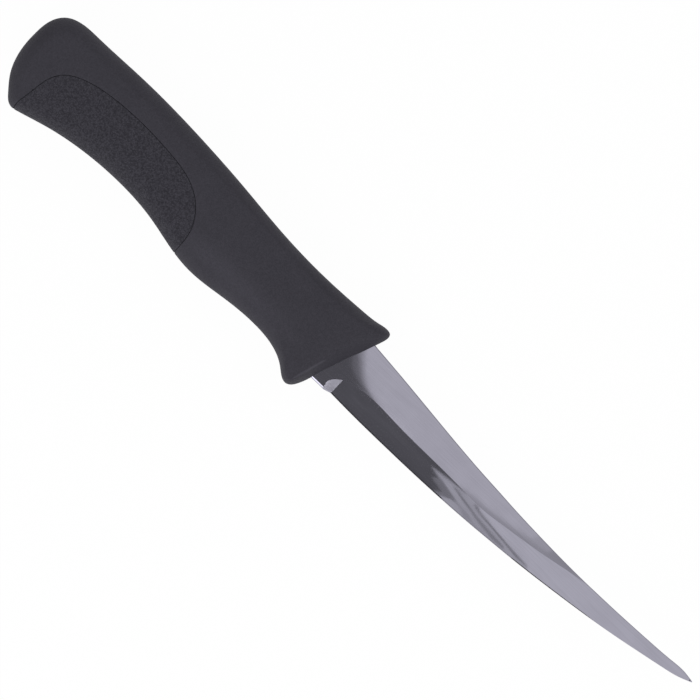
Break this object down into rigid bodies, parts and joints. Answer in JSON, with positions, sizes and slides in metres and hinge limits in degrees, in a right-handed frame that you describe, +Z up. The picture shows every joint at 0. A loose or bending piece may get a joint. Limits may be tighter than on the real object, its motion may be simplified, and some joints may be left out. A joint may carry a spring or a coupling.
{
  "type": "fillet knife",
  "caption": "Fillet knife with a narrow upswept steel blade and a moulded handle with a finger guard and a textured belly inlay, lying on its side.",
  "frame": {"origin": "on the surface that the knife lies on, under the middle of its bounding box", "axes": "+X from the butt of the handle towards the tip, +Y from the cutting edge towards the back of the blade, +Z up, across the thickness"},
  "size_m": [0.2932, 0.0381, 0.02],
  "materials": {
    "blade_steel": "fine satin flats and polished ground bevels, with a bright plunge and sharpened edge",
    "core_plastic": "plain moulded, hidden inside the shell",
    "shell_plastic": "charcoal soft-touch moulding with a very fine grain",
    "inlay_rubber": "charcoal with a coarse spark-eroded texture"
  },
  "bodies": {
    "root": {"blade": "blade_steel", "handle_core": "core_plastic", "handle_body": "shell_plastic", "grip_inlay": "inlay_rubber"}
  },
  "joints": []
}
